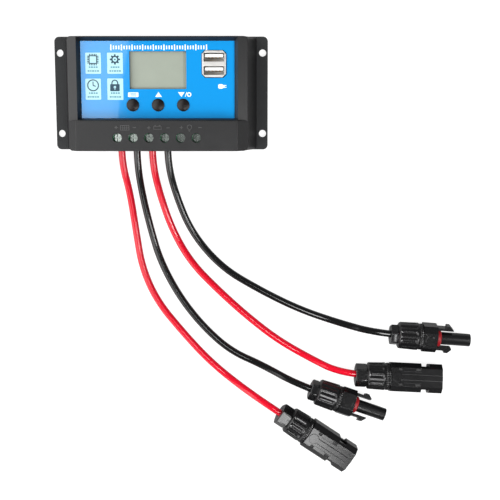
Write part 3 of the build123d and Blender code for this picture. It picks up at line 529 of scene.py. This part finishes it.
hood_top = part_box("front_cover")[1][2]
sign_rise = 0.0003
plus_span, plus_stroke = 2.0, 0.45
stub = (plus_span - plus_stroke) / 2
raised = []
for x, y, minus_x in ((-24.1, -20.9, -13.2), (-4.5, -21.1, 6.9), (14.9, -20.9, 26.0)):
    raised += [box(x, y, plus_span, plus_stroke), box(minus_x, y, plus_span, 0.5)]
    raised += [box(x, y + side * (plus_stroke + stub) / 2, plus_stroke, stub) for side in (-1, 1)]
raised.append((rounded(-19.0, -21.1, 5.4, 3.1, 0.2), rounded(-19.0, -21.1, 4.7, 2.4, 0.1)))
raised += [box(-19.0 + step, -21.1, 0.3, 2.4) for step in (-1.2, 0, 1.2)]
raised += [
    box(-19.0 + step, -21.1, width, 0.3) for step, width in ((-1.85, 1), (-0.6, 0.9), (0.6, 0.9), (1.85, 1))
]
raised.append((rounded(0.6, -21.1, 4.8, 2.2, 0.2), rounded(0.6, -21.1, 4.1, 1.5, 0.1)))
raised += [box(0.6 + side * 1.3, -19.75, 0.8, 0.5) for side in (-1, 1)]
raised.append((disc(19.7, -20.7, 1.5), disc(19.7, -20.7, 1.15)))
raised += [box(19.7, -22.5, 1.3, 0.35), box(19.7, -23.1, 0.9, 0.35)]
# raised signs on the hood, in the light grey of the painted highlight
relief(
    "hood_signs",
    raised,
    hood_top - sign_rise,
    hood_top + sign_rise,
    prints["sign_highlight_paint"],
)

# ---------------------------------------------------------------- gland nuts

connector_depth = 0.016
connector_roll = {
    "panel_positive": 0,
    "panel_negative": -20,
    "battery_positive": -15,
    "battery_negative": 8,
}


def connector_frame(lead):
    """Origin and axes of a connector: along the lead's last run, level, then rolled about it."""
    before, end = (np.array(point) for point in lead_routes[lead][-2:])
    along = (end - before) / np.linalg.norm(end - before)
    level = np.array([along[1], -along[0], 0]) / np.hypot(along[0], along[1])
    up = np.cross(level, along)
    side = np.cross(up, along)
    roll = radians(connector_roll[lead])
    turned_side = side * cos(roll) + up * sin(roll)
    return end - along * connector_depth, along, turned_side, np.cross(along, turned_side)


def turned_piece(name, lead, along, radii, turn):
    """Closed ring about a connector's axis: its place is along the axis plus radius times the turn."""
    origin, axis, side, up = connector_frame(lead)
    points = (
        origin
        + along[:, None, None] * axis
        + (radii * np.cos(turn))[:, :, None] * side
        + (radii * np.sin(turn))[:, :, None] * up
    )
    rows, columns = radii.shape
    row, column = np.meshgrid(np.arange(rows), np.arange(columns), indexing="ij")
    next_row, next_column = (row + 1) % rows, (column + 1) % columns
    corners = [
        row * columns + column,
        row * columns + next_column,
        next_row * columns + next_column,
        next_row * columns + column,
    ]
    mesh = bpy.data.meshes.new(name)
    mesh.from_pydata(points.reshape(-1, 3).tolist(), [], np.stack(corners, axis=2).reshape(-1, 4).tolist())
    mesh.shade_smooth()
    mesh.set_sharp_from_angle(angle=radians(32))
    return add_piece(name, mesh, finishes["connector_plastic"])


def gland_nut(lead, hexagon, hex_length, diameter, end):
    """Cap nut: a closed loop of stations (along, radius) turned about the connector's axis.

    The radius of a station is that of a hexagon on the tail, blends to round over the cone, and
    carries twelve smooth grooves that start and end in rounded toes.  The loop comes back through
    the bore, wide over the housing and narrow round the lead.
    """
    name = f"{lead}_nut"
    radius = diameter / 2
    bore, wide = 0.0024, 0.0064
    cone_length, lip_length, taper = 0.0016, 0.0005, 0.0004
    flutes, groove_depth = 12, 0.0007
    tail = [0, 0.0004, hex_length - 0.0002, hex_length]
    body = np.linspace(hex_length, end, 30)
    along = np.concatenate([tail, body, [end, end, 0.0054, 0.0054, 0]])
    turn = np.arange(240) * 2 * pi / 240
    sixth = np.mod(turn, pi / 3) - pi / 6
    hexed = hexagon / 2 / np.cos(sixth)
    chamfered = np.minimum(hexed, hexagon / 2 * 1.07)
    cone = np.clip((body - hex_length) / cone_length, 0, 1)
    cone = np.sin(cone * pi / 2)
    lip = np.clip((end - body) / lip_length, 0, 1)
    smooth = hexagon / 2 + (radius - taper - hexagon / 2) * cone
    smooth = smooth + taper * (body - hex_length) / (end - hex_length)
    smooth = smooth - 0.0003 * (1 - lip) ** 2
    toe = np.clip((body - hex_length - 0.001) / 0.0018, 0, 1) * np.clip((end - 0.0012 - body) / 0.0014, 0, 1)
    toe = np.sin(np.clip(toe, 0, 1) * pi / 2)
    groove = np.clip((np.cos(flutes * turn) + 0.35) / 1.35, 0, 1) ** 0.7
    fluted = smooth[:, None] - groove_depth * toe[:, None] * groove[None, :]
    rounds = np.ones(len(turn))
    radii = np.concatenate(
        [
            [chamfered * 0.96, hexed, hexed, np.minimum(hexed, hexagon / 2 * 1.1)],
            fluted,
            [(radius - 0.0006) * rounds, wide * rounds, wide * rounds, bore * rounds, bore * rounds],
        ]
    )
    made = turned_piece(f"{name}_fluted", lead, along, radii, turn)
    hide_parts(name)
    return made


for lead in lead_routes:
    if lead.endswith("negative"):
        gland_nut(lead, 0.0118, 0.0043, 0.0177, 0.0178)
    else:
        gland_nut(lead, 0.013, 0.0069, 0.0181, 0.019)


def knurled_collar(lead, start, end, radius):
    """Ring in front of the nut: a closed loop of stations turned about the connector's axis.

    The outer radius carries forty small ridges, a sine of the angle, which fade at both rims.
    """
    inner = 0.0074
    ridges, ridge_height, rim_drop = 40, 0.00014, 0.0004
    along = np.concatenate([np.linspace(start, end, 9), [end, start]])
    turn = np.arange(320) * 2 * pi / 320
    fade = np.sin(np.linspace(0, pi, 9)) ** 0.5
    ridged = radius + ridge_height * fade[:, None] * np.sin(ridges * turn)[None, :]
    ridged = ridged - rim_drop * (1 - fade[:, None])
    radii = np.concatenate([ridged, np.full((2, len(turn)), inner)])
    return turned_piece(f"{lead}_collar", lead, along, radii, turn)


for lead in lead_routes:
    if lead.endswith("negative"):
        knurled_collar(lead, 0.01795, 0.0206, 0.0083)
    else:
        knurled_collar(lead, 0.01915, 0.0225, 0.0087)


def painted_pocket_shade(lead):
    """Painted shade: dark plates at the recess floors and along the ridge and bar edges of a window
    connector's two flat faces, where its glossy plastic only lies in shade; thin plates in its own axes.

    Each plate is a rectangle (start, end, inner, outer) along and across, mirrored to all four sides.
    """
    strips = [
        (29.4, 55.2, 1.5, 1.95),
        (27.4, 29.6, 4.12, 5.68),
        (38.2, 41.4, 4.12, 5.68),
        (30.4, 41.6, 3.55, 3.8),
        (30.4, 41.6, 5.85, 6.05),
    ]
    depths = [7.32, 6.55, 6.55, 7.32, 7.32]
    thickness = 0.06
    origin, axis, side, up = connector_frame(lead)
    points, faces = [], []
    for (start, end, inner, outer), depth in zip(strips, depths):
        for across in (-1, 1):
            for face in (-1, 1):
                low, high = depth - thickness, depth
                block = np.array(
                    [
                        (x, across * y, face * z)
                        for z in (low, high)
                        for x, y in ((start, inner), (end, inner), (end, outer), (start, outer))
                    ]
                )
                first = 8 * len(points)
                points.append(block)
                quads = np.array(
                    [[3, 2, 1, 0], [4, 5, 6, 7], [0, 1, 5, 4], [1, 2, 6, 5], [2, 3, 7, 6], [3, 0, 4, 7]]
                )
                faces += ((quads if across * face > 0 else quads[:, ::-1]) + first).tolist()
    local = np.concatenate(points) * mm
    placed = origin + local[:, :1] * axis + local[:, 1:2] * side + local[:, 2:] * up
    mesh = bpy.data.meshes.new(f"{lead}_painted_pocket_shade")
    mesh.from_pydata(placed.tolist(), [], faces)
    add_piece(f"{lead}_painted_pocket_shade", mesh, finishes["inner_plastic"])


# painted shade in the recesses and along the ridges of the two window connectors' flat faces
painted_pocket_shade("panel_positive")
painted_pocket_shade("battery_positive")

# ---------------------------------------------------------------- the leads as cords

for lead, made in sheaths.items():
    colour = "red_sheath" if lead.endswith("positive") else "black_sheath"
    made.data.materials.append(finishes[colour])
    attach(made, controller)
    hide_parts(f"{lead}_lead")

# ---------------------------------------------------------------- floor, lamps and surroundings


def softbox(name, place, target, up, size, power):
    """Rectangular soft lamp of size (across, along) metres, with its long side along up."""
    data = bpy.data.lights.new(name, "AREA")
    data.shape = "RECTANGLE"
    data.size, data.size_y = size
    data.energy = power
    lamp = bpy.data.objects.new(name, data)
    lamp.matrix_world = facing(place, target, up)
    lamp.visible_camera = False
    bpy.context.scene.collection.objects.link(lamp)


softbox(
    "left_softbox", (-0.2715, 0.0495, 0.6), (-0.2715, 0.0495, 0.0), (0.156, 0.988, 0), (0.34, 0.8), 2.2
)
softbox("front_strip", (0.14, -0.33, 0.6), (0.14, -0.33, 0.0), (0.05, 1, 0), (0.08, 0.4), 1.4)
softbox("right_softbox", (0.46, -0.19, 0.5), (0.06, -0.16, 0.0), (0, 1, 0), (0.07, 0.3), 2.4)

world = bpy.data.worlds.new("studio")
bpy.context.scene.world = world
world.use_nodes = True
sky = world.node_tree
seen = add_node(sky, "ShaderNodeLightPath").outputs
way = add_node(sky, "ShaderNodeTexCoord").outputs["Generated"]
sideways = add_node(sky, "ShaderNodeSeparateXYZ", {0: way}).outputs[0]
room = add_node(
    sky,
    "ShaderNodeMapRange",
    {"Value": sideways, "From Min": -0.35, "From Max": -0.75, "To Min": 0.16, "To Max": 3.0},
    interpolation_type="SMOOTHSTEP",
)
level = add_node(
    sky, "ShaderNodeMix", {0: seen["Is Camera Ray"], 2: room.outputs[0], 3: 1.0}, data_type="FLOAT"
)
sky.links.new(level.outputs[0], sky.nodes["Background"].inputs["Strength"])
sky.nodes["Background"].inputs["Color"].default_value = (1, 1, 1, 1)

floor_mesh = bpy.data.meshes.new("floor")
reach, drop = 3, 0.0002
floor_mesh.from_pydata(
    [(-reach, -reach, -drop), (reach, -reach, -drop), (reach, reach, -drop), (-reach, reach, -drop)],
    [],
    [(0, 1, 2, 3)],
)
floor = bpy.data.objects.new("floor", floor_mesh)
bpy.context.scene.collection.objects.link(floor)
paper = bpy.data.materials.new("white_paper")
paper.use_nodes = True
tree = paper.node_tree
tree.nodes.remove(tree.nodes["Principled BSDF"])
seen = add_node(tree, "ShaderNodeLightPath").outputs
mirrored = add_node(
    tree, "ShaderNodeMath", {0: seen["Is Glossy Ray"], 1: seen["Is Transmission Ray"]}, operation="MAXIMUM"
)
matt_tone, pale_tone = 0.8, 0.25
seen_glow, mirrored_glow = 0.86, 0.1
matt = add_node(tree, "ShaderNodeBsdfDiffuse", {"Color": (matt_tone, matt_tone, matt_tone, 1)})
pale = add_node(tree, "ShaderNodeBsdfDiffuse", {"Color": (pale_tone, pale_tone, pale_tone, 1)})
glow = add_node(tree, "ShaderNodeEmission", {"Color": (1, 1, 1, 1), "Strength": seen_glow})
faint = add_node(tree, "ShaderNodeEmission", {"Color": (1, 1, 1, 1), "Strength": mirrored_glow})
bright = add_node(tree, "ShaderNodeAddShader", {0: pale.outputs[0], 1: glow.outputs[0]})
dim = add_node(tree, "ShaderNodeAddShader", {0: pale.outputs[0], 1: faint.outputs[0]})
mixed = add_node(
    tree, "ShaderNodeMixShader", {0: seen["Is Camera Ray"], 1: matt.outputs[0], 2: bright.outputs[0]}
)
mixed = add_node(
    tree, "ShaderNodeMixShader", {0: mirrored.outputs[0], 1: mixed.outputs[0], 2: dim.outputs[0]}
)
tree.links.new(mixed.outputs[0], tree.nodes["Material Output"].inputs["Surface"])
floor_mesh.materials.append(paper)

bpy.context.scene.view_settings.view_transform = "Standard"

bpy.context.view_layer.update()
